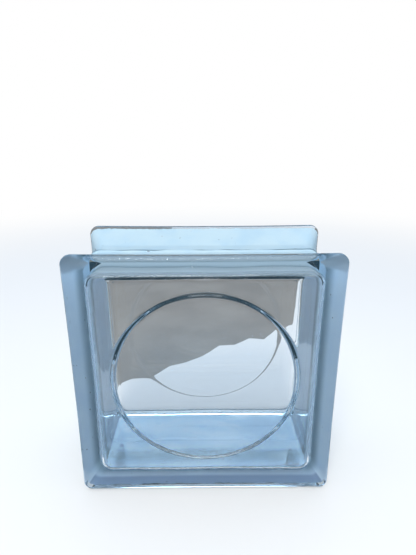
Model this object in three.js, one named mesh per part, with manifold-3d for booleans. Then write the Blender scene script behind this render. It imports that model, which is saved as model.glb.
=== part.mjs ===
// A hollow glass block: two pressed glass dishes, fused rim to rim along a weld bead.
// X is its width, Y its thickness and Z its height, and it stands on the lands of its two lower flange edges.
// The origin is the middle of the footprint, so the fused seam lies in the plane Y = 0.
import * as THREE from "three";
import { mergeVertices } from "three/addons/utils/BufferGeometryUtils.js";
import Module from "manifold-3d";

// Driving dimensions, in millimetres and degrees.
const blockSide = 197; // width and height over the flanges
const blockDepth = 98; // thickness over the two faces

const faceEdge = 4; // radius between a face and the land of its flange
const flangeCorner = 7; // radius of a flange's four corners, seen from the front
const flangeLand = 2; // flat width of each flange edge, which the block stands on
const flangeBack = 3; // radius where a land turns into the slope behind it

const channelDepth = 10; // depth of the mortar channel below the lands
const flankSlope = 22; // angle of that slope, the flank, to the channel floor
const channelFillet = 9; // radius between a flank and the channel floor
const bodyCorner = 9; // radius of the body's four corners at the channel floor

const beadHeight = 1.4; // how far the weld bead stands out of the channel floor
const beadWidth = 6; // width of the bead, half of it on each dish

const wallThickness = 3.4; // side wall between the cavity and the channel floor, at the seam
const cavityTaper = 0.2; // how much the cavity narrows on each side, from the seam to the face plate
const plateThickness = 8; // face plate round the recess
const cavityCorner = 10; // radius of the cavity's four corners
const cavityFillet = 10; // radius between the face plate and the side walls

const recessDiameter = 145; // round recess on the inner side of the face plate, at its mouth
const recessDepth = 2.4; // how much thinner the plate is inside the circle
const recessDraft = 40; // steepest angle of the recess wall to the thickness
const recessLip = 3.3; // radius at the mouth of the recess
const recessFillet = 3.3; // radius at the foot of the recess wall

const leastCorner = 1; // no corner of a section is sharper than this
const cornerSteps = 9; // facets on each rounded corner
const recessSteps = 96; // facets round the recess
const cutOvershoot = 2; // how far a cutting solid runs past the surface that it opens

const halfSide = blockSide / 2;
const faceY = -blockDepth / 2;
const plateInnerY = faceY + plateThickness;
const channelHalf = halfSide - channelDepth;
const radians = THREE.MathUtils.degToRad;

const wasm = await Module();
wasm.setup();

// Points of an arc about (cx, cy), from one angle to another in degrees.
function arc(cx, cy, radius, from, to, steps) {
  return Array.from({ length: steps + 1 }, (_, i) => {
    const angle = radians(from + ((to - from) * i) / steps);
    return new THREE.Vector2(cx + radius * Math.cos(angle), cy + radius * Math.sin(angle));
  });
}

// The outline of a square with rounded corners, anticlockwise seen from the front.
function roundedSquare(half, corner) {
  const c = half - corner;
  return [
    ...arc(c, c, corner, 0, 90, cornerSteps),
    ...arc(-c, c, corner, 90, 180, cornerSteps),
    ...arc(-c, -c, corner, 180, 270, cornerSteps),
    ...arc(c, -c, corner, 270, 360, cornerSteps),
  ];
}

// The corner radius of an outline that lies inset from one with the given corner radius.
function insetCorner(corner, inset) {
  return Math.max(corner - inset, leastCorner);
}

// A closed solid through rounded squares, each { y, half, corner }, in order of rising y.
function loft(sections) {
  const rings = sections.map(({ y, half, corner }) =>
    roundedSquare(half, corner).map((p) => new THREE.Vector3(p.x, y, p.y)),
  );
  const count = rings[0].length;
  const first = new THREE.Vector3(0, sections[0].y, 0);
  const last = new THREE.Vector3(0, sections.at(-1).y, 0);
  const points = [...rings.flat(), first, last];
  const firstIndex = rings.length * count;
  const index = [];
  for (let j = 0; j < count; j++) {
    const k = (j + 1) % count;
    index.push(firstIndex, j, k);
    for (let i = 0; i + 1 < rings.length; i++) {
      const a = i * count;
      const b = a + count;
      index.push(a + j, b + j, a + k, a + k, b + j, b + k);
    }
    const end = (rings.length - 1) * count;
    index.push(end + j, firstIndex + 1, end + k);
  }
  return new THREE.BufferGeometry().setFromPoints(points).setIndex(index);
}

// A closed geometry as a solid that can be cut.
function solidFrom(geometry) {
  const bare = geometry.clone();
  bare.deleteAttribute("normal");
  bare.deleteAttribute("uv");
  const merged = mergeVertices(bare, 1e-4);
  return new wasm.Manifold(
    new wasm.Mesh({
      numProp: 3,
      vertProperties: merged.attributes.position.array,
      triVerts: new Uint32Array(merged.index.array),
    }),
  );
}

// A solid as a geometry with flat facets.
function geometryFrom(solid) {
  const { vertProperties, triVerts } = solid.getMesh();
  const geometry = new THREE.BufferGeometry()
    .setAttribute("position", new THREE.BufferAttribute(vertProperties, 3))
    .setIndex(new THREE.BufferAttribute(triVerts, 1))
    .toNonIndexed();
  geometry.computeVertexNormals();
  return geometry;
}

// The half of the weld bead on one dish: a quarter wave that rises towards the seam.
function beadProfile() {
  const steps = 5;
  return Array.from({ length: steps + 1 }, (_, i) => {
    const along = i / steps;
    const rise = (beadHeight * (1 - Math.cos(Math.PI * along))) / 2;
    return { y: (-beadWidth / 2) * (1 - along), half: channelHalf + rise };
  });
}

// The outside of a dish: face, flange, flank, channel floor and bead.
function outerProfile() {
  const slope = radians(flankSlope);
  const crestY = faceY + faceEdge;
  const edge = arc(crestY, halfSide - faceEdge, faceEdge, 180, 90, 7).map(({ x, y }) => ({
    y: x,
    half: y,
    corner: insetCorner(flangeCorner, halfSide - y),
  }));
  const backY = crestY + flangeLand;
  const back = arc(backY, halfSide - flangeBack, flangeBack, 90, 90 - flankSlope, 4);
  const bends = flangeBack + channelFillet;
  const flankDrop = channelDepth - bends * (1 - Math.cos(slope));
  const floorY = backY + bends * Math.sin(slope) + flankDrop / Math.tan(slope);
  const foot = arc(floorY, channelHalf + channelFillet, channelFillet, 270 - flankSlope, 270, 5);
  const channel = [...back, ...foot].map(({ x, y }) => ({ y: x, half: y }));
  const lower = [...channel, ...beadProfile()].map(({ y, half }) => ({
    y,
    half,
    corner: THREE.MathUtils.mapLinear(half, halfSide, channelHalf, flangeCorner, bodyCorner),
  }));
  return [...edge, ...lower];
}

// The inside of a dish: from the face plate out through the seam.
function cavityProfile() {
  const seamHalf = channelHalf - wallThickness;
  const plateHalf = seamHalf - cavityTaper;
  const fillet = arc(plateInnerY + cavityFillet, plateHalf - cavityFillet, cavityFillet, 180, 90, 8);
  const walls = fillet.map(({ x, y }) => ({
    y: x,
    half: y,
    corner: insetCorner(cavityCorner, plateHalf - y),
  }));
  const seam = { half: seamHalf, corner: cavityCorner };
  return [...walls, { ...seam, y: 0 }, { ...seam, y: cutOvershoot }];
}

// The tool that presses the round recess, turned about the Y axis. Where its wall is too low for both of its
// radii, they shrink to fit.
function recessTool() {
  const mouth = recessDiameter / 2;
  const slant = 90 - recessDraft;
  const floorY = plateInnerY - recessDepth;
  const turn = 1 - Math.cos(radians(slant));
  const fit = Math.min(1, recessDepth / ((recessLip + recessFillet) * turn));
  const lipRadius = recessLip * fit;
  const footRadius = recessFillet * fit;
  const bends = lipRadius + footRadius;
  const straight = recessDepth - bends * turn;
  const footX = mouth - bends * Math.sin(radians(slant)) - straight / Math.tan(radians(slant));
  const foot = arc(footX, floorY + footRadius, footRadius, 270, 270 + slant, 5);
  const lip = arc(mouth, plateInnerY - lipRadius, lipRadius, 90 + slant, 90, 5);
  const profile = [
    new THREE.Vector2(0, floorY),
    ...foot,
    ...lip,
    new THREE.Vector2(mouth, plateInnerY + cutOvershoot),
    new THREE.Vector2(0, plateInnerY + cutOvershoot),
  ];
  return new THREE.LatheGeometry(profile, recessSteps);
}

// One dish, with its face towards -Y and its seam in the plane Y = 0.
function dishGeometry() {
  const dish = solidFrom(loft(outerProfile()))
    .subtract(solidFrom(loft(cavityProfile())))
    .subtract(solidFrom(recessTool()));
  return geometryFrom(dish);
}

const glass = new THREE.MeshStandardMaterial({ color: 0xb9d3de, roughness: 0.05, metalness: 0 });
const dish = dishGeometry();

const frontHalf = new THREE.Mesh(dish, glass);
frontHalf.name = "front_half";
const rearHalf = new THREE.Mesh(dish, glass);
rearHalf.name = "rear_half";
rearHalf.rotation.z = Math.PI;

const block = new THREE.Group();
block.name = "glass_block";
block.position.z = halfSide;
block.add(frontHalf, rearHalf);

const part = new THREE.Group();
part.add(block);

export default part;
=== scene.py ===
import math

import bpy
import numpy as np
from mathutils import Matrix, Vector, noise


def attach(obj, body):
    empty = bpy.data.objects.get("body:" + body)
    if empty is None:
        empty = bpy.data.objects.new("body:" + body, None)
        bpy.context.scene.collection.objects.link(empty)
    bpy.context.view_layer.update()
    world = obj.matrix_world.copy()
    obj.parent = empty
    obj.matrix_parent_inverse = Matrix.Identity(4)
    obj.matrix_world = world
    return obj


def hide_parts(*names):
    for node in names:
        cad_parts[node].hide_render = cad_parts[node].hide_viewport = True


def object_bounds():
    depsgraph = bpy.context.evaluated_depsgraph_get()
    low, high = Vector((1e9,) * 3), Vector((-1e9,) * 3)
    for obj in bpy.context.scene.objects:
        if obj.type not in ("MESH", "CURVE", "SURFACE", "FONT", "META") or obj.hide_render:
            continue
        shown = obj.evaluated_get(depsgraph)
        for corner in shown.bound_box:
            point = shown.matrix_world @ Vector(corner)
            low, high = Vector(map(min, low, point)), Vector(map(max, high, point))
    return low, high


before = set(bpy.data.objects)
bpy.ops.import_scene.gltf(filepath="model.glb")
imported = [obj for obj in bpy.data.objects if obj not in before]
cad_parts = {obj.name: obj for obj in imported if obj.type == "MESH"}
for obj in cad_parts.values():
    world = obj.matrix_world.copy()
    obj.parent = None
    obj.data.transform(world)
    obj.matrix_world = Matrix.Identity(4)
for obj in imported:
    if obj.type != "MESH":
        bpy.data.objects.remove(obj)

# Metres. The block stands on the floor, its fused seam in the plane Y = 0 and its front face towards -Y.
MM = 0.001
cad_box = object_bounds()
block_low, block_high = (Vector(corner) for corner in cad_box)
HALF_SIDE = (block_high.x - block_low.x) / 2
HALF_DEPTH = (block_high.y - block_low.y) / 2
MIDDLE_Z = (block_low.z + block_high.z) / 2

# Outside: the rounded face edge, the flank that slopes down to the mortar channel, and the fused bead.
FACE_EDGE = 4 * MM
FLANGE_CORNER = 7 * MM
FLANGE_LAND = 2 * MM
FLANGE_BACK = 3 * MM
FLANK_SLOPE = 22
CHANNEL_DEPTH = 10 * MM
CHANNEL_FILLET = 9 * MM
BODY_CORNER = 9 * MM
BEAD_HEIGHT = 1.4 * MM
BEAD_WIDTH = 6 * MM
EDGE_SAG = 0.7 * MM

# Inside: the cavity, and the round recess in the inner side of the front plate.
WALL = 3.4 * MM
CAVITY_TAPER = 0.2 * MM
PLATE = 8 * MM
CAVITY_CORNER = 10 * MM
CAVITY_FILLET = 6.3 * MM
REAR_FILLET = 4 * MM
RECESS_RADIUS = 72.5 * MM
RECESS_DEPTH = 3.3 * MM
RECESS_DRAFT = 42
RECESS_LIP = 3.2 * MM
RECESS_FILLET = 3.2 * MM
LEAST_CORNER = 1 * MM

# The rear plate has a low round pad in place of the recess. This is its height as a share of RECESS_DEPTH.
REAR_PAD = 0.6

# Half the width of the cavity at the seam.
SEAM_HALF = HALF_SIDE - CHANNEL_DEPTH - WALL

# How finely the surfaces are cut: facets of sides, corners and fillets, the longest step between two rings,
# the gap from a ring that holds a flat to its end, and the radius of the small disc in the middle of a plate.
SIDE_STEPS = 60
CORNER_STEPS = 10
FILLET_STEPS = 12
BACK_STEPS = 6
BEAD_STEPS = 8
RECESS_STEPS = 8
CAVITY_STEPS = 14
LONGEST_STEP = 4 * MM
HOLD = 0.25 * MM
HUB = 2 * MM

# The most of its half width that a ring's corner takes, and where rings lie between the mouth of the recess
# and the edge of the flat plate.
MOST_CORNER = 0.9
PLATE_SHARES = (0.1, 0.35, 0.65, 0.9)

# Unevenness: how far apart the lumps are, how far they move the glass, and how much of the cavity's half
# width counts as its walls.
BROAD_LUMPS = 60 * MM
FINE_LUMPS = 22 * MM
HEIGHT_LUMPS = 45 * MM
PLATE_LUMPS = 38 * MM
BROAD_SWELL = 0.5 * MM
FINE_SWELL = 0.18 * MM
HEIGHT_SWELL = 0.5 * MM
UPRIGHT_SHARE = 0.4
PLATE_SWELL = 0.05 * MM
WALL_SHARE = 0.25
WANDER_LUMPS = 30 * MM
BEAD_WANDER = 1.1 * MM
RISE_LUMPS = 14 * MM
BEAD_RISE = 0.35 * MM


# ---- nodes ----


class Signal:
    """A socket in a node tree. Arithmetic on it adds Math nodes."""

    def __init__(self, tree, socket=None):
        self.tree = tree
        self.socket = socket

    def node(self, kind, settings=None, inputs=None, output=0):
        """Adds a node, makes its settings, feeds its sockets, and returns one of its outputs."""
        made = self.tree.nodes.new(kind)
        for name, value in (settings or {}).items():
            setattr(made, name, value)
        for name, value in (inputs or {}).items():
            if isinstance(value, Signal):
                self.tree.links.new(value.socket, made.inputs[name])
            else:
                made.inputs[name].default_value = value
        return Signal(self.tree, made.outputs[output]) if made.outputs else None

    def math(self, operation, *values):
        """A Math node that works on these values."""
        return self.node("ShaderNodeMath", {"operation": operation}, dict(enumerate(values)))

    def __add__(self, other):
        return self.math("ADD", self, other)

    def __radd__(self, other):
        return self.math("ADD", other, self)

    def __sub__(self, other):
        return self.math("SUBTRACT", self, other)

    def __rsub__(self, other):
        return self.math("SUBTRACT", other, self)

    def __mul__(self, other):
        return self.math("MULTIPLY", self, other)

    def __rmul__(self, other):
        return self.math("MULTIPLY", other, self)

    def __gt__(self, other):
        return self.math("GREATER_THAN", self, other)

    def size(self):
        """The value without its sign."""
        return self.math("ABSOLUTE", self)

    def larger(self, other):
        """The larger of the two values."""
        return self.math("MAXIMUM", self, other)

    def ramp(self, low, high):
        """Goes smoothly from 0 at low to 1 at high."""
        settings = {"interpolation_type": "SMOOTHSTEP"}
        return self.node("ShaderNodeMapRange", settings, {"Value": self, "From Min": low, "From Max": high})

    def blend(self, none, full):
        """Mixes two colours by this value."""
        return self.node("ShaderNodeMix", {"data_type": "RGBA"}, {"Factor": self, 6: none, 7: full}, 2)


def new_material(name):
    """An empty material, and a Signal that adds nodes to it."""
    material = bpy.data.materials.new(name)
    material.use_nodes = True
    material.node_tree.nodes.clear()
    return material, Signal(material.node_tree)


def place(tree):
    """The point on the object, in metres, and its three parts."""
    point = tree.node("ShaderNodeTexCoord", output="Object")
    parts = [tree.node("ShaderNodeSeparateXYZ", None, {0: point}, axis) for axis in "XYZ"]
    return point, parts


def clouds(point, scale, detail=2, stretch=None):
    """Soft noise from 0 to 1 with this many lumps to the metre."""
    if stretch:
        settings = {"operation": "MULTIPLY"}
        point = point.node("ShaderNodeVectorMath", settings, {0: point, 1: stretch})
    return point.node("ShaderNodeTexNoise", None, {"Vector": point, "Scale": scale, "Detail": detail})


# ---- the shape ----


def arc(centre, radius, start, end, steps):
    """Points (y, half) of an arc about a centre, between two angles in degrees."""
    angles = np.radians(np.linspace(start, end, steps + 1))
    return [(centre[0] + radius * math.cos(a), centre[1] + radius * math.sin(a)) for a in angles]


def square_ring(half, corner):
    """The outline of a square with rounded corners, as an array of (x, z)."""
    middle = half - corner
    quarter = [(half, z) for z in np.linspace(-middle, middle, SIDE_STEPS + 1)[:-1]]
    for bend in np.radians(np.linspace(0, 90, CORNER_STEPS + 1)[:-1]):
        quarter.append((middle + corner * math.cos(bend), middle + corner * math.sin(bend)))
    turns = [np.radians(90 * turn) for turn in range(4)]
    return np.array(
        [(x * np.cos(a) - z * np.sin(a), x * np.sin(a) + z * np.cos(a)) for a in turns for x, z in quarter]
    )


def inset_corner(corner, inset):
    """The radius that a corner keeps when its outline moves in."""
    return max(corner - inset, LEAST_CORNER)


def with_holds(path):
    """Splits the long steps of a path, and adds a point close to each of their ends to keep them flat."""
    out = [path[0]]
    for start, end in zip(path, path[1:]):
        start, end = np.array(start), np.array(end)
        length = np.linalg.norm(end - start)
        if length > 6 * HOLD:
            count = max(1, round(length / LONGEST_STEP))
            shares = np.linspace(HOLD / length, 1 - HOLD / length, count + 1)
            out += [tuple(start + (end - start) * share) for share in shares]
        out.append(tuple(end))
    return out


def bead_path(base):
    """Points (y, half) from the foot of the fused bead to its top, at the seam."""
    path = []
    for share in np.linspace(0, 1, BEAD_STEPS + 1):
        rise = BEAD_HEIGHT * (1 - math.cos(math.pi * share)) / 2
        path.append((-BEAD_WIDTH / 2 * (1 - share), base + rise))
    return path


def outside_rings():
    """Rings (y, outline) of the front half's outside, from the middle of its face to the seam."""
    slope = math.radians(FLANK_SLOPE)
    crest = -HALF_DEPTH + FACE_EDGE
    back = crest + FLANGE_LAND
    bends = FLANGE_BACK + CHANNEL_FILLET
    channel = HALF_SIDE - CHANNEL_DEPTH
    straight = (CHANNEL_DEPTH - bends * (1 - math.cos(slope))) / math.tan(slope)
    foot = back + bends * math.sin(slope) + straight
    path = [(-HALF_DEPTH, HUB)]
    path += arc((crest, HALF_SIDE - FACE_EDGE), FACE_EDGE, 180, 90, FILLET_STEPS)
    path += arc((back, HALF_SIDE - FLANGE_BACK), FLANGE_BACK, 90, 90 - FLANK_SLOPE, BACK_STEPS)
    path += arc((foot, channel + CHANNEL_FILLET), CHANNEL_FILLET, 270 - FLANK_SLOPE, 270, FILLET_STEPS)
    path += bead_path(channel)
    rings = []
    for y, half in with_holds(path):
        drop = HALF_SIDE - half
        if y < back:
            corner = inset_corner(FLANGE_CORNER, drop)
        else:
            corner = FLANGE_CORNER + (BODY_CORNER - FLANGE_CORNER) * drop / CHANNEL_DEPTH
        rings.append((y, square_ring(half, min(corner, half * MOST_CORNER))))
    return rings


def recess_path():
    """Points (y, radius) of the recess: its floor, its slanted wall and the lip round its mouth."""
    plate = -HALF_DEPTH + PLATE
    bottom = plate - RECESS_DEPTH
    slant = 90 - RECESS_DRAFT
    turn = math.radians(slant)
    bends = RECESS_LIP + RECESS_FILLET
    run = (RECESS_DEPTH - bends * (1 - math.cos(turn))) / math.tan(turn)
    foot = RECESS_RADIUS - bends * math.sin(turn) - run
    wall = arc((foot, bottom + RECESS_FILLET), RECESS_FILLET, 270, 270 + slant, RECESS_STEPS)
    wall += arc((RECESS_RADIUS, plate - RECESS_LIP), RECESS_LIP, 90 + slant, 90, RECESS_STEPS)
    return [(bottom, HUB)] + [(y, radius) for radius, y in wall]


def inside_rings(fillet):
    """Rings (y, outline) of the front half's cavity, from the middle of the recess to the seam."""
    plate = -HALF_DEPTH + PLATE
    plate_half = SEAM_HALF - CAVITY_TAPER
    flat_half = plate_half - fillet
    spokes = square_ring(flat_half, 3 * LEAST_CORNER)
    spokes /= np.linalg.norm(spokes, axis=1)[:, None]
    rings = [(y, spokes * radius) for y, radius in with_holds(recess_path())]
    flat_edge = square_ring(flat_half, inset_corner(CAVITY_CORNER, fillet))
    for share in PLATE_SHARES:
        rings.append((plate, spokes * RECESS_RADIUS * (1 - share) + flat_edge * share))
    walls = arc((plate + fillet, flat_half), fillet, 180, 90, CAVITY_STEPS) + [(0, SEAM_HALF)]
    for y, half in with_holds(walls):
        inset = max(plate_half - half, 0)
        rings.append((y, square_ring(half, inset_corner(CAVITY_CORNER, inset))))
    return rings


def both_halves(front, rear):
    """The rings of the front half, then those of the rear half, mirrored. The two share the seam."""
    return front + [(-y, outline) for y, outline in rear[-2::-1]]


def with_pad(rings):
    """Turns the recess of a plate into a low round pad."""
    plate = -HALF_DEPTH + PLATE
    return [(plate + (plate - y) * REAR_PAD if y < plate else y, outline) for y, outline in rings]


def skin(rings, outward, first):
    """Points and faces of a closed surface through the rings. Its points are numbered from first."""
    count = len(rings[0][1])
    points = [(x, y, z) for y, outline in rings for x, z in outline]
    points += [(0, rings[0][0], 0), (0, rings[-1][0], 0)]
    front_hub, rear_hub = first + len(points) - 2, first + len(points) - 1
    faces = []
    for ring in range(len(rings) - 1):
        near, far = first + ring * count, first + (ring + 1) * count
        for i in range(count):
            j = (i + 1) % count
            faces.append((near + i, near + j, far + j, far + i))
    last = first + (len(rings) - 1) * count
    for i in range(count):
        j = (i + 1) % count
        faces.append((front_hub, first + j, first + i))
        faces.append((rear_hub, last + i, last + j))
    return points, [tuple(reversed(face)) for face in faces] if outward else faces


def lumps(point, size, seed):
    """Smooth noise about 0 whose lumps are this far apart."""
    return noise.noise(point / size + Vector((seed, 2 * seed, 3 * seed)))


def sagged(points):
    """Pulls in the middles of the sides a little, as pressed glass shrinks between its corners."""
    x, z = points[:, 0].copy(), points[:, 2].copy()
    pull = EDGE_SAG / HALF_SIDE
    points[:, 0] = x * (1 - pull * np.clip(1 - (z / HALF_SIDE) ** 2, 0, 1))
    points[:, 2] = z * (1 - pull * np.clip(1 - (x / HALF_SIDE) ** 2, 0, 1))


def uneven_cavity(points):
    """Moves the cavity's surface a little in and out, as the plunger and the cooling leave it."""
    for i, point in enumerate(points):
        spot = Vector(point)
        out = max(abs(point[0]), abs(point[2])) / SEAM_HALF
        wall = np.clip((out - 1 + WALL_SHARE) / WALL_SHARE, 0, 1)
        swell = lumps(spot, BROAD_LUMPS, 3) * BROAD_SWELL + lumps(spot, FINE_LUMPS, 5) * FINE_SWELL
        upright = lumps(spot, HEIGHT_LUMPS, 9) * HEIGHT_SWELL + swell * UPRIGHT_SHARE
        points[i, 0] += point[0] / SEAM_HALF * wall * swell
        points[i, 2] += point[2] / SEAM_HALF * wall * upright
        points[i, 1] += (1 - wall) * lumps(spot, PLATE_LUMPS, 7) * PLATE_SWELL * np.sign(point[1])


def uneven_bead(points):
    """Lets the fused bead wander and swell a little along the seam."""
    for i, point in enumerate(points):
        near = np.clip(1 - abs(point[1]) / BEAD_WIDTH, 0, 1)
        if near > 0:
            spot = Vector((point[0], 0, point[2]))
            points[i, 1] += near * lumps(spot, WANDER_LUMPS, 4) * BEAD_WANDER
            rise = near * lumps(spot, RISE_LUMPS, 6) * BEAD_RISE / HALF_SIDE
            points[i, 0] *= 1 + rise
            points[i, 2] *= 1 + rise


def glass_block():
    """The fused block: its outside, and the cavity sealed inside it."""
    shell = both_halves(outside_rings(), outside_rings())
    cavity = both_halves(inside_rings(CAVITY_FILLET), with_pad(inside_rings(REAR_FILLET)))
    outside, outside_faces = skin(shell, True, 0)
    inside, inside_faces = skin(cavity, False, len(outside))
    outside, inside = np.array(outside), np.array(inside)
    uneven_bead(outside)
    uneven_cavity(inside)
    points = np.concatenate((outside, inside))
    sagged(points)
    points[:, 2] += MIDDLE_Z
    mesh = bpy.data.meshes.new("glass_block")
    mesh.from_pydata(points.tolist(), [], outside_faces + inside_faces)
    mesh.polygons.foreach_set("use_smooth", [True] * len(mesh.polygons))
    coatable = [float(is_edge(points[list(face)])) for face in outside_faces] + [0.0] * len(inside_faces)
    mesh.attributes.new("edge", "FLOAT", "FACE").data.foreach_set("value", coatable)
    mesh.update()
    block = bpy.data.objects.new("glass_block", mesh)
    bpy.context.collection.objects.link(block)
    block.data.materials.append(block_glass())
    return block


def is_edge(corners):
    """Whether a face of the outside belongs to the edge all round, between the two face plates."""
    return abs(corners[:, 1].mean()) < HALF_DEPTH - FACE_EDGE


# ---- the finishes ----

GLASS_IOR = 1.52
GLASS_TINT = (0.35, 0.75, 0.88, 1)
GLASS_DENSITY = 5
RIPPLE = 0.03 * MM


def glass_body(tree):
    """The faint blue-green that a long way through the glass takes on."""
    return tree.node("ShaderNodeVolumeAbsorption", None, {"Color": GLASS_TINT, "Density": GLASS_DENSITY})


def pressed_surface(tree, point):
    """The ripples of pressed glass, as a normal."""
    flow = clouds(point, 60, 0, (1, 1, 1.6)) + 0.25 * clouds(point, 130, 0, (0.5, 1, 1.4))
    return tree.node("ShaderNodeBump", None, {"Strength": 1, "Distance": RIPPLE, "Height": flow})


def clear_surface(tree, point):
    """Clear glass."""
    settings = {
        "Base Color": (1, 1, 1, 1),
        "Roughness": 0,
        "IOR": GLASS_IOR,
        "Transmission Weight": 1,
        "Normal": pressed_surface(tree, point),
    }
    return tree.node("ShaderNodeBsdfPrincipled", None, settings)


# The coat as it is seen from outside: thick and thin, and the light that it lets through.
COAT_COLOUR = (0.80, 0.96, 0.97, 1)
COAT_THIN = (0.68, 0.88, 0.95, 1)
COAT_LIGHT = (0.74, 0.90, 0.99, 1)
COAT_GLOW = 0.45
COAT_ROUGHNESS = 0.42
COAT_GRAIN = 0.05 * MM
GRAIN_STRENGTH = 0.4

# The coat as it is seen through the glass: thick and thin, its two painted shades, and the light that it lets
# in.
INNER_COLOUR = (0.77, 0.90, 1.00, 1)
INNER_THIN = (0.72, 0.86, 0.99, 1)
INNER_PAINTED_SHADE = (0.26, 0.36, 0.41, 1)
INNER_PAINTED_LOW_SHADE = (0.19, 0.31, 0.49, 1)
INNER_LIGHT = (0.76, 0.90, 1.00, 1)
INNER_GLOW = 0.08
TOP_GLOW = 0.65

# The coat stops short of the faces, at this distance from the seam. It reaches further on the rear half and
# underneath, where that fades out over LOW_HEIGHTS. Its border is ragged.
COAT_REACH = 38.7 * MM
LOW_REACH = 0.5 * MM
LOW_HEIGHTS = (5 * MM, 14 * MM)
REAR_REACH = 1 * MM
RAGGED_BROAD = 3 * MM
RAGGED_FINE = 2 * MM
COAT_BORDER = 0.3 * MM
PINHOLES_ABOVE = 0.86

# The seam's line, and how far it wanders.
SEAM_COLOUR = (0.09, 0.17, 0.20, 1)
SEAM_LINE = (0.4 * MM, 0.9 * MM)
SEAM_WANDER = 2 * MM

# Where shade is painted into the inner coat, and how much. The top side begins at these heights. The rest
# are distances ahead of the seam: the foot of the flank, the seam itself and the two steps of the bottom
# edge.
TOP_HEIGHTS = (2 * HALF_SIDE - 16 * MM, 2 * HALF_SIDE - 12 * MM)
FOOT_BEGINS = (10 * MM, 17 * MM)
FOOT_ENDS = (19 * MM, 30 * MM)
FOOT_PAINTED_SHADE = 0.85
SEAM_MIDDLE = 3 * MM
SEAM_SPREAD = (3 * MM, 13 * MM)
SEAM_PAINTED_SHADE = 0.9
LOW_BEGINS = (17 * MM, 20 * MM)
LOW_DEEPENS = (28.5 * MM, 32 * MM)
LOW_PAINTED_SHADES = (0.3, 0.55)
MITRE = 1 * MM


def coat_colour(point, thick, thin):
    """The coat's pale blue, cloudier in places."""
    return clouds(point, 55, 4).ramp(0.35, 0.75).blend(thick, thin)


def seam_line(point, depth):
    """Where the fused seam shows as a fine dark line."""
    wander = (clouds(point, 45, 1) - 0.5) * SEAM_WANDER
    line = 1 - (depth + wander).size().ramp(*SEAM_LINE)
    broken = clouds(point, 38).ramp(0.3, 0.5)
    return line * broken


def coat_cover(point, depth, height):
    """Where the coat lies: 1 in the channel, 0 towards the faces, ragged between and with a few pinholes."""
    low = 1 - height.ramp(*LOW_HEIGHTS)
    rear = depth > 0
    border = COAT_REACH + LOW_REACH * low + REAR_REACH * rear
    ragged = (clouds(point, 90) - 0.5) * RAGGED_BROAD + (clouds(point, 700) - 0.5) * RAGGED_FINE
    reach = (border - depth.size() + ragged).ramp(-COAT_BORDER, COAT_BORDER)
    pinholes = clouds(point, 420, 0) > PINHOLES_ABOVE
    return reach * (1 - pinholes)


def inner_coat(tree, point, across, depth, height):
    """The side of the coat that lies on the glass. Shade is painted into its colour where the flank meets the
    channel, under the top seam and along the bottom edge. The top lets the daylight in."""
    top = height.ramp(*TOP_HEIGHTS)
    ahead = 0 - depth
    # Painted shade: masks for the foot of the flank and for the strip under the top seam.
    foot = (1 - top) * ahead.ramp(*FOOT_BEGINS) * (1 - ahead.ramp(*FOOT_ENDS))
    seam = top * (1 - (ahead - SEAM_MIDDLE).size().ramp(*SEAM_SPREAD))
    # Painted shade along the bottom edge, in two steps and bluer than the rest.
    under = (HALF_SIDE - across.size() - height).ramp(-MITRE, MITRE)
    low = under * (LOW_PAINTED_SHADES[0] * ahead.ramp(*LOW_BEGINS) + LOW_PAINTED_SHADES[1] * ahead.ramp(*LOW_DEEPENS))
    pale = low.blend(coat_colour(point, INNER_COLOUR, INNER_THIN), INNER_PAINTED_LOW_SHADE)
    colour = (FOOT_PAINTED_SHADE * foot).larger(SEAM_PAINTED_SHADE * seam).blend(pale, INNER_PAINTED_SHADE)
    matt = {"Base Color": colour, "Roughness": 1, "Specular IOR Level": 0}
    face = tree.node("ShaderNodeBsdfPrincipled", None, matt)
    glow = tree.node("ShaderNodeBsdfTranslucent", None, {"Color": INNER_LIGHT})
    share = INNER_GLOW + (TOP_GLOW - INNER_GLOW) * top
    return tree.node("ShaderNodeMixShader", None, {0: share, 1: face, 2: glow})


def block_glass():
    """Clear glass, with the coat on its edge. Being one material lets light leave the glass body cleanly."""
    material, tree = new_material("block_glass")
    point, (across, depth, height) = place(tree)
    colour = seam_line(point, depth).blend(coat_colour(point, COAT_COLOUR, COAT_THIN), SEAM_COLOUR)
    bumps = {"Strength": GRAIN_STRENGTH, "Distance": COAT_GRAIN, "Height": clouds(point, 1500)}
    grain = tree.node("ShaderNodeBump", None, bumps)
    sheen = {"Base Color": colour, "Roughness": COAT_ROUGHNESS, "Normal": grain}
    face = tree.node("ShaderNodeBsdfPrincipled", None, sheen)
    glow = tree.node("ShaderNodeBsdfTranslucent", None, {"Color": COAT_LIGHT})
    outer = tree.node("ShaderNodeMixShader", None, {0: COAT_GLOW, 1: face, 2: glow})
    from_glass = tree.node("ShaderNodeNewGeometry", output="Backfacing")
    inner = inner_coat(tree, point, across, depth, height)
    coat = tree.node("ShaderNodeMixShader", None, {0: from_glass, 1: outer, 2: inner})
    edge = tree.node("ShaderNodeAttribute", {"attribute_name": "edge"}, output="Fac")
    cover = coat_cover(point, depth, height) * edge
    surface = tree.node("ShaderNodeMixShader", None, {0: cover, 1: clear_surface(tree, point), 2: coat})
    tree.node("ShaderNodeOutputMaterial", None, {"Surface": surface, "Volume": glass_body(tree)})
    return material


# ---- the studio ----

# The camera: its focal length in pixels of the frame, its spot, and its yaw, pitch and roll in degrees.
FOCAL_PIXELS = 450.5
FRAME_HEIGHT = 555
SENSOR = 36
CAMERA_SPOT = (-0.394 * MM, -337.351 * MM, 281.71 * MM)
CAMERA_TURN = (-0.50, 19.09, -0.14)


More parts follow.
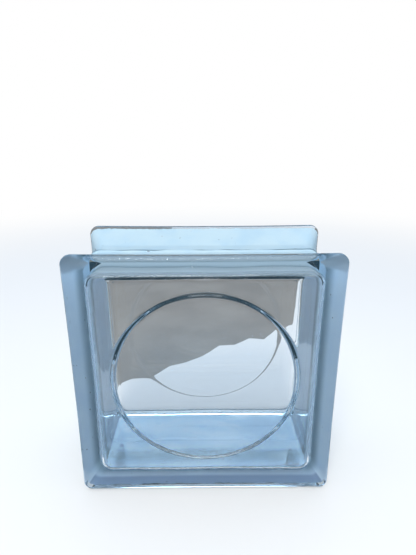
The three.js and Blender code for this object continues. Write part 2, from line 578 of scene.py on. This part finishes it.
def camera():
    """The camera looks down a little from above the block's top, almost square to its face."""
    lens = bpy.data.cameras.new("camera")
    lens.sensor_width = SENSOR
    lens.lens = FOCAL_PIXELS / FRAME_HEIGHT * SENSOR
    lens.clip_start = 0.01
    viewer = bpy.data.objects.new("camera", lens)
    bpy.context.collection.objects.link(viewer)
    yaw, pitch, roll = (math.radians(angle) for angle in CAMERA_TURN)
    right = Vector((math.cos(yaw), math.sin(yaw), 0))
    ahead = Vector((-math.sin(yaw) * math.cos(pitch), math.cos(yaw) * math.cos(pitch), -math.sin(pitch)))
    up = right.cross(ahead)
    tilted_right = right * math.cos(roll) + up * math.sin(roll)
    tilted_up = up * math.cos(roll) - right * math.sin(roll)
    turn = Matrix((tilted_right, tilted_up, -ahead)).transposed().to_4x4()
    turn.translation = CAMERA_SPOT
    viewer.matrix_world = turn
    bpy.context.scene.camera = viewer


# The floor's own colour and the one that it throws back, and the distances over which it turns white.
WHITE = (1, 1, 1, 1)
HORIZON = (0.79, 0.90, 1.07, 1)
ZENITH = (0.79, 0.97, 1.22, 1)
SKY_RISE = (0.1, 0.9)
FLOOR_SIZE = 7
FLOOR_SEEN = (0.83, 0.77, 0.695, 1)
FLOOR_BOUNCE = (0.35, 0.35, 0.35, 1)
FLOOR_ROUGHNESS = 0.9
FLOOR_WHITENS = (0.5, 1.3)


def from_matt(tree):
    """Whether a ray comes from a matt face, which it lights."""
    return tree.node("ShaderNodeLightPath", output="Diffuse Depth") > 0


def shown(tree):
    """Whether a ray shows the background, be it straight, mirrored or through glass."""
    kinds = ("Is Camera Ray", "Is Glossy Ray", "Is Transmission Ray")
    rays = [tree.node("ShaderNodeLightPath", output=kind) for kind in kinds]
    return (sum(rays) > 0) * (1 - from_matt(tree))


def sky():
    """A white background, and the soft dome that lights the block, bluer and brighter overhead."""
    world = bpy.data.worlds.new("studio")
    bpy.context.scene.world = world
    world.use_nodes = True
    world.node_tree.nodes.clear()
    tree = Signal(world.node_tree)
    ray = tree.node("ShaderNodeTexCoord", output="Generated")
    height = tree.node("ShaderNodeSeparateXYZ", None, {0: ray}, "Z")
    colour = shown(tree).blend(height.ramp(*SKY_RISE).blend(HORIZON, ZENITH), WHITE)
    light = tree.node("ShaderNodeBackground", None, {"Color": colour, "Strength": 1})
    tree.node("ShaderNodeOutputWorld", None, {"Surface": light})


def floor():
    """A pale floor, white in the distance, which throws less light back on the block than it shows."""
    bpy.ops.mesh.primitive_plane_add(size=FLOOR_SIZE)
    ground = bpy.context.object
    ground.name = "floor"
    material, tree = new_material("pale_floor")
    colour = from_matt(tree).blend(FLOOR_SEEN, FLOOR_BOUNCE)
    matt = tree.node("ShaderNodeBsdfPrincipled", None, {"Base Color": colour, "Roughness": FLOOR_ROUGHNESS})
    white = tree.node("ShaderNodeEmission", None, {"Color": WHITE, "Strength": 1})
    point, _ = place(tree)
    distance = tree.node("ShaderNodeVectorMath", {"operation": "LENGTH"}, {0: point}, "Value")
    away = distance.ramp(*FLOOR_WHITENS) * shown(tree)
    surface = tree.node("ShaderNodeMixShader", None, {0: away, 1: matt, 2: white})
    tree.node("ShaderNodeOutputMaterial", None, {"Surface": surface})
    ground.data.materials.append(material)


# Cards that show only mirrored or through glass. Their colours, then where each lies, in metres.
DARK_TEAL = (0.008, 0.024, 0.03, 1)
APRON_BLUE = (0.25, 0.32, 0.38, 1)
# The sheet's two greys are a painted shadow on the ground behind the block.
SHEET_GREY = (0.225, 0.18, 0.135, 1)
SHEET_PALE = (0.285, 0.235, 0.18, 1)
PANEL_BLUE = (0.35, 0.58, 0.85, 1)
PANEL_PALE = (0.6, 0.86, 1.1, 1)
PANEL_GLOW = 6.5
BLACK = (0, 0, 0, 1)

SURROUND_RADIUS = 1.0
SURROUND_HEIGHT = 2.9
SURROUND_STEPS = 96
APRON_GAP = 0.02
CARD_LIFT = 1 * MM
SHEET_START = (-0.6, -0.231)
SHEET_END = (1.05, 0.896)
SHEET_STEPS = 80
SHEET_TEAR = 0.024
TEAR_STRIDE = 0.71
CORNER_X = (0.195, 0.25)
CORNER_Y = (0.46, 0.62)
PANEL_HALF = 0.16
PANEL_Y = (0.06, 0.25)
PANEL_HEIGHT = 0.10


def only_in_glass(card):
    """Hides a card from all but mirrored rays and those that go through glass."""
    for rays in ("camera", "diffuse", "shadow", "volume_scatter"):
        setattr(card, "visible_" + rays, False)


def clear_where(tree, clear, card):
    """Makes a card see-through where clear is 1."""
    nothing = tree.node("ShaderNodeBsdfTransparent")
    return tree.node("ShaderNodeMixShader", None, {0: clear, 1: card, 2: nothing})


def plain_card(name, colour):
    """Card of one colour. Rays from matt faces go through it, so that it shades nothing."""
    material, tree = new_material(name)
    card = tree.node("ShaderNodeBsdfDiffuse", None, {"Color": colour})
    surface = clear_where(tree, from_matt(tree), card)
    tree.node("ShaderNodeOutputMaterial", None, {"Surface": surface})
    return material


def bright_card():
    """Streaky blue light from the lower side alone. Rays from matt faces go through this card too."""
    material, tree = new_material("bright_card")
    point, _ = place(tree)
    streaks = clouds(point, 16, 3, (1, 2.5, 1)).ramp(0.4, 0.6).blend(PANEL_BLUE, PANEL_PALE)
    settings = {
        "Base Color": BLACK,
        "Roughness": 1,
        "Specular IOR Level": 0,
        "Emission Color": streaks,
        "Emission Strength": PANEL_GLOW,
    }
    card = tree.node("ShaderNodeBsdfPrincipled", None, settings)
    upper_side = tree.node("ShaderNodeNewGeometry", output="Backfacing")
    surface = clear_where(tree, from_matt(tree), clear_where(tree, upper_side, card))
    tree.node("ShaderNodeOutputMaterial", None, {"Surface": surface})
    return material


def painted_shadow_card():
    """Matt grey, paler in places, for the painted shadow behind the block."""
    material, tree = new_material("painted_shadow_card")
    point, _ = place(tree)
    colour = clouds(point, 9, 4).ramp(0.35, 0.65).blend(SHEET_GREY, SHEET_PALE)
    surface = tree.node("ShaderNodeBsdfPrincipled", None, {"Base Color": colour, "Roughness": 1})
    tree.node("ShaderNodeOutputMaterial", None, {"Surface": surface})
    return material


def dark_surround():
    """A ring of dark card round the set, to draw the edges of the glass."""
    bpy.ops.mesh.primitive_cylinder_add(
        vertices=SURROUND_STEPS,
        radius=SURROUND_RADIUS,
        depth=SURROUND_HEIGHT,
        end_fill_type="NOTHING",
        location=(0, 0, SURROUND_HEIGHT / 2),
    )
    ring = bpy.context.object
    ring.name = "dark_surround"
    ring.data.materials.append(plain_card("dark_card", DARK_TEAL))
    only_in_glass(ring)


def sheet(name, corners, height, material):
    """A level card through these corners (x, y)."""
    mesh = bpy.data.meshes.new(name)
    mesh.from_pydata([(x, y, height) for x, y in corners], [], [tuple(range(len(corners)))])
    mesh.materials.append(material)
    card = bpy.data.objects.new(name, mesh)
    bpy.context.collection.objects.link(card)
    only_in_glass(card)


def blue_apron():
    """Blue-grey card in front of the block and at its sides, so that its face mirrors no pale floor."""
    near = -HALF_DEPTH - APRON_GAP
    far = -SURROUND_RADIUS
    side = HALF_SIDE + APRON_GAP
    corners = [(far, far), (-far, far), (-far, 0), (side, 0)]
    corners += [(side, near), (-side, near), (-side, 0), (far, 0)]
    sheet("blue_apron", corners, CARD_LIFT, plain_card("blue_card", APRON_BLUE))


def painted_shadow_sheet():
    """A painted shadow: a grey sheet behind the block, with a torn slanting edge. It tones down the view
    through the glass.
    """
    left, near = SHEET_START
    right, far = SHEET_END
    corners = []
    for step in range(SHEET_STEPS + 1):
        along = step / SHEET_STEPS
        tear = noise.noise(Vector((step * TEAR_STRIDE, 0, 0))) * SHEET_TEAR
        corners.append((left + (right - left) * along, near + (far - near) * along + tear))
    corners.append((left, far + SHEET_TEAR))
    sheet("painted_shadow_sheet", corners, CARD_LIFT, painted_shadow_card())


def dark_corners():
    """Two small dark cards on the floor behind, which darken the corners between the block's two plates."""
    material = plain_card("dark_corner", DARK_TEAL)
    inner, outer = CORNER_X
    near, far = CORNER_Y
    for name, side in (("left_corner", -1), ("right_corner", 1)):
        corners = [(side * inner, near), (side * outer, near), (side * outer, far), (side * inner, far)]
        sheet(name, corners, 2 * CARD_LIFT, material)


def bright_panel():
    """A pale blue panel behind the block, which shines down for the sheen on the floor of the cavity."""
    near, far = PANEL_Y
    corners = [(-PANEL_HALF, near), (-PANEL_HALF, far), (PANEL_HALF, far), (PANEL_HALF, near)]
    sheet("bright_panel", corners, PANEL_HEIGHT, bright_card())


# The lamp: its spot, the point that it looks at, its size and its power.
KEY_SPOT = Vector((-0.15, -1.2, 1.55))
KEY_TARGET = Vector((0, 0.1, 0.05))
KEY_SIZE = 0.8
KEY_POWER = 21


def soft_key():
    """The one lamp, large and soft, from above and in front."""
    light = bpy.data.lights.new("soft_key", "AREA")
    light.size = KEY_SIZE
    light.energy = KEY_POWER
    holder = bpy.data.objects.new("soft_key", light)
    bpy.context.collection.objects.link(holder)
    holder.location = KEY_SPOT
    holder.rotation_euler = (KEY_TARGET - KEY_SPOT).to_track_quat("-Z", "Y").to_euler()


def light_paths():
    """Enough bounces for light to cross both shells of the block and come back."""
    paths = bpy.context.scene.cycles
    paths.max_bounces = 32
    paths.diffuse_bounces = 16
    paths.glossy_bounces = 24
    paths.transmission_bounces = 32


camera()
sky()
floor()
dark_surround()
blue_apron()
painted_shadow_sheet()
dark_corners()
bright_panel()
soft_key()
light_paths()

block = glass_block()
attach(block, "root")
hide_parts("front_half", "rear_half")

bpy.context.scene.view_settings.view_transform = "Standard"
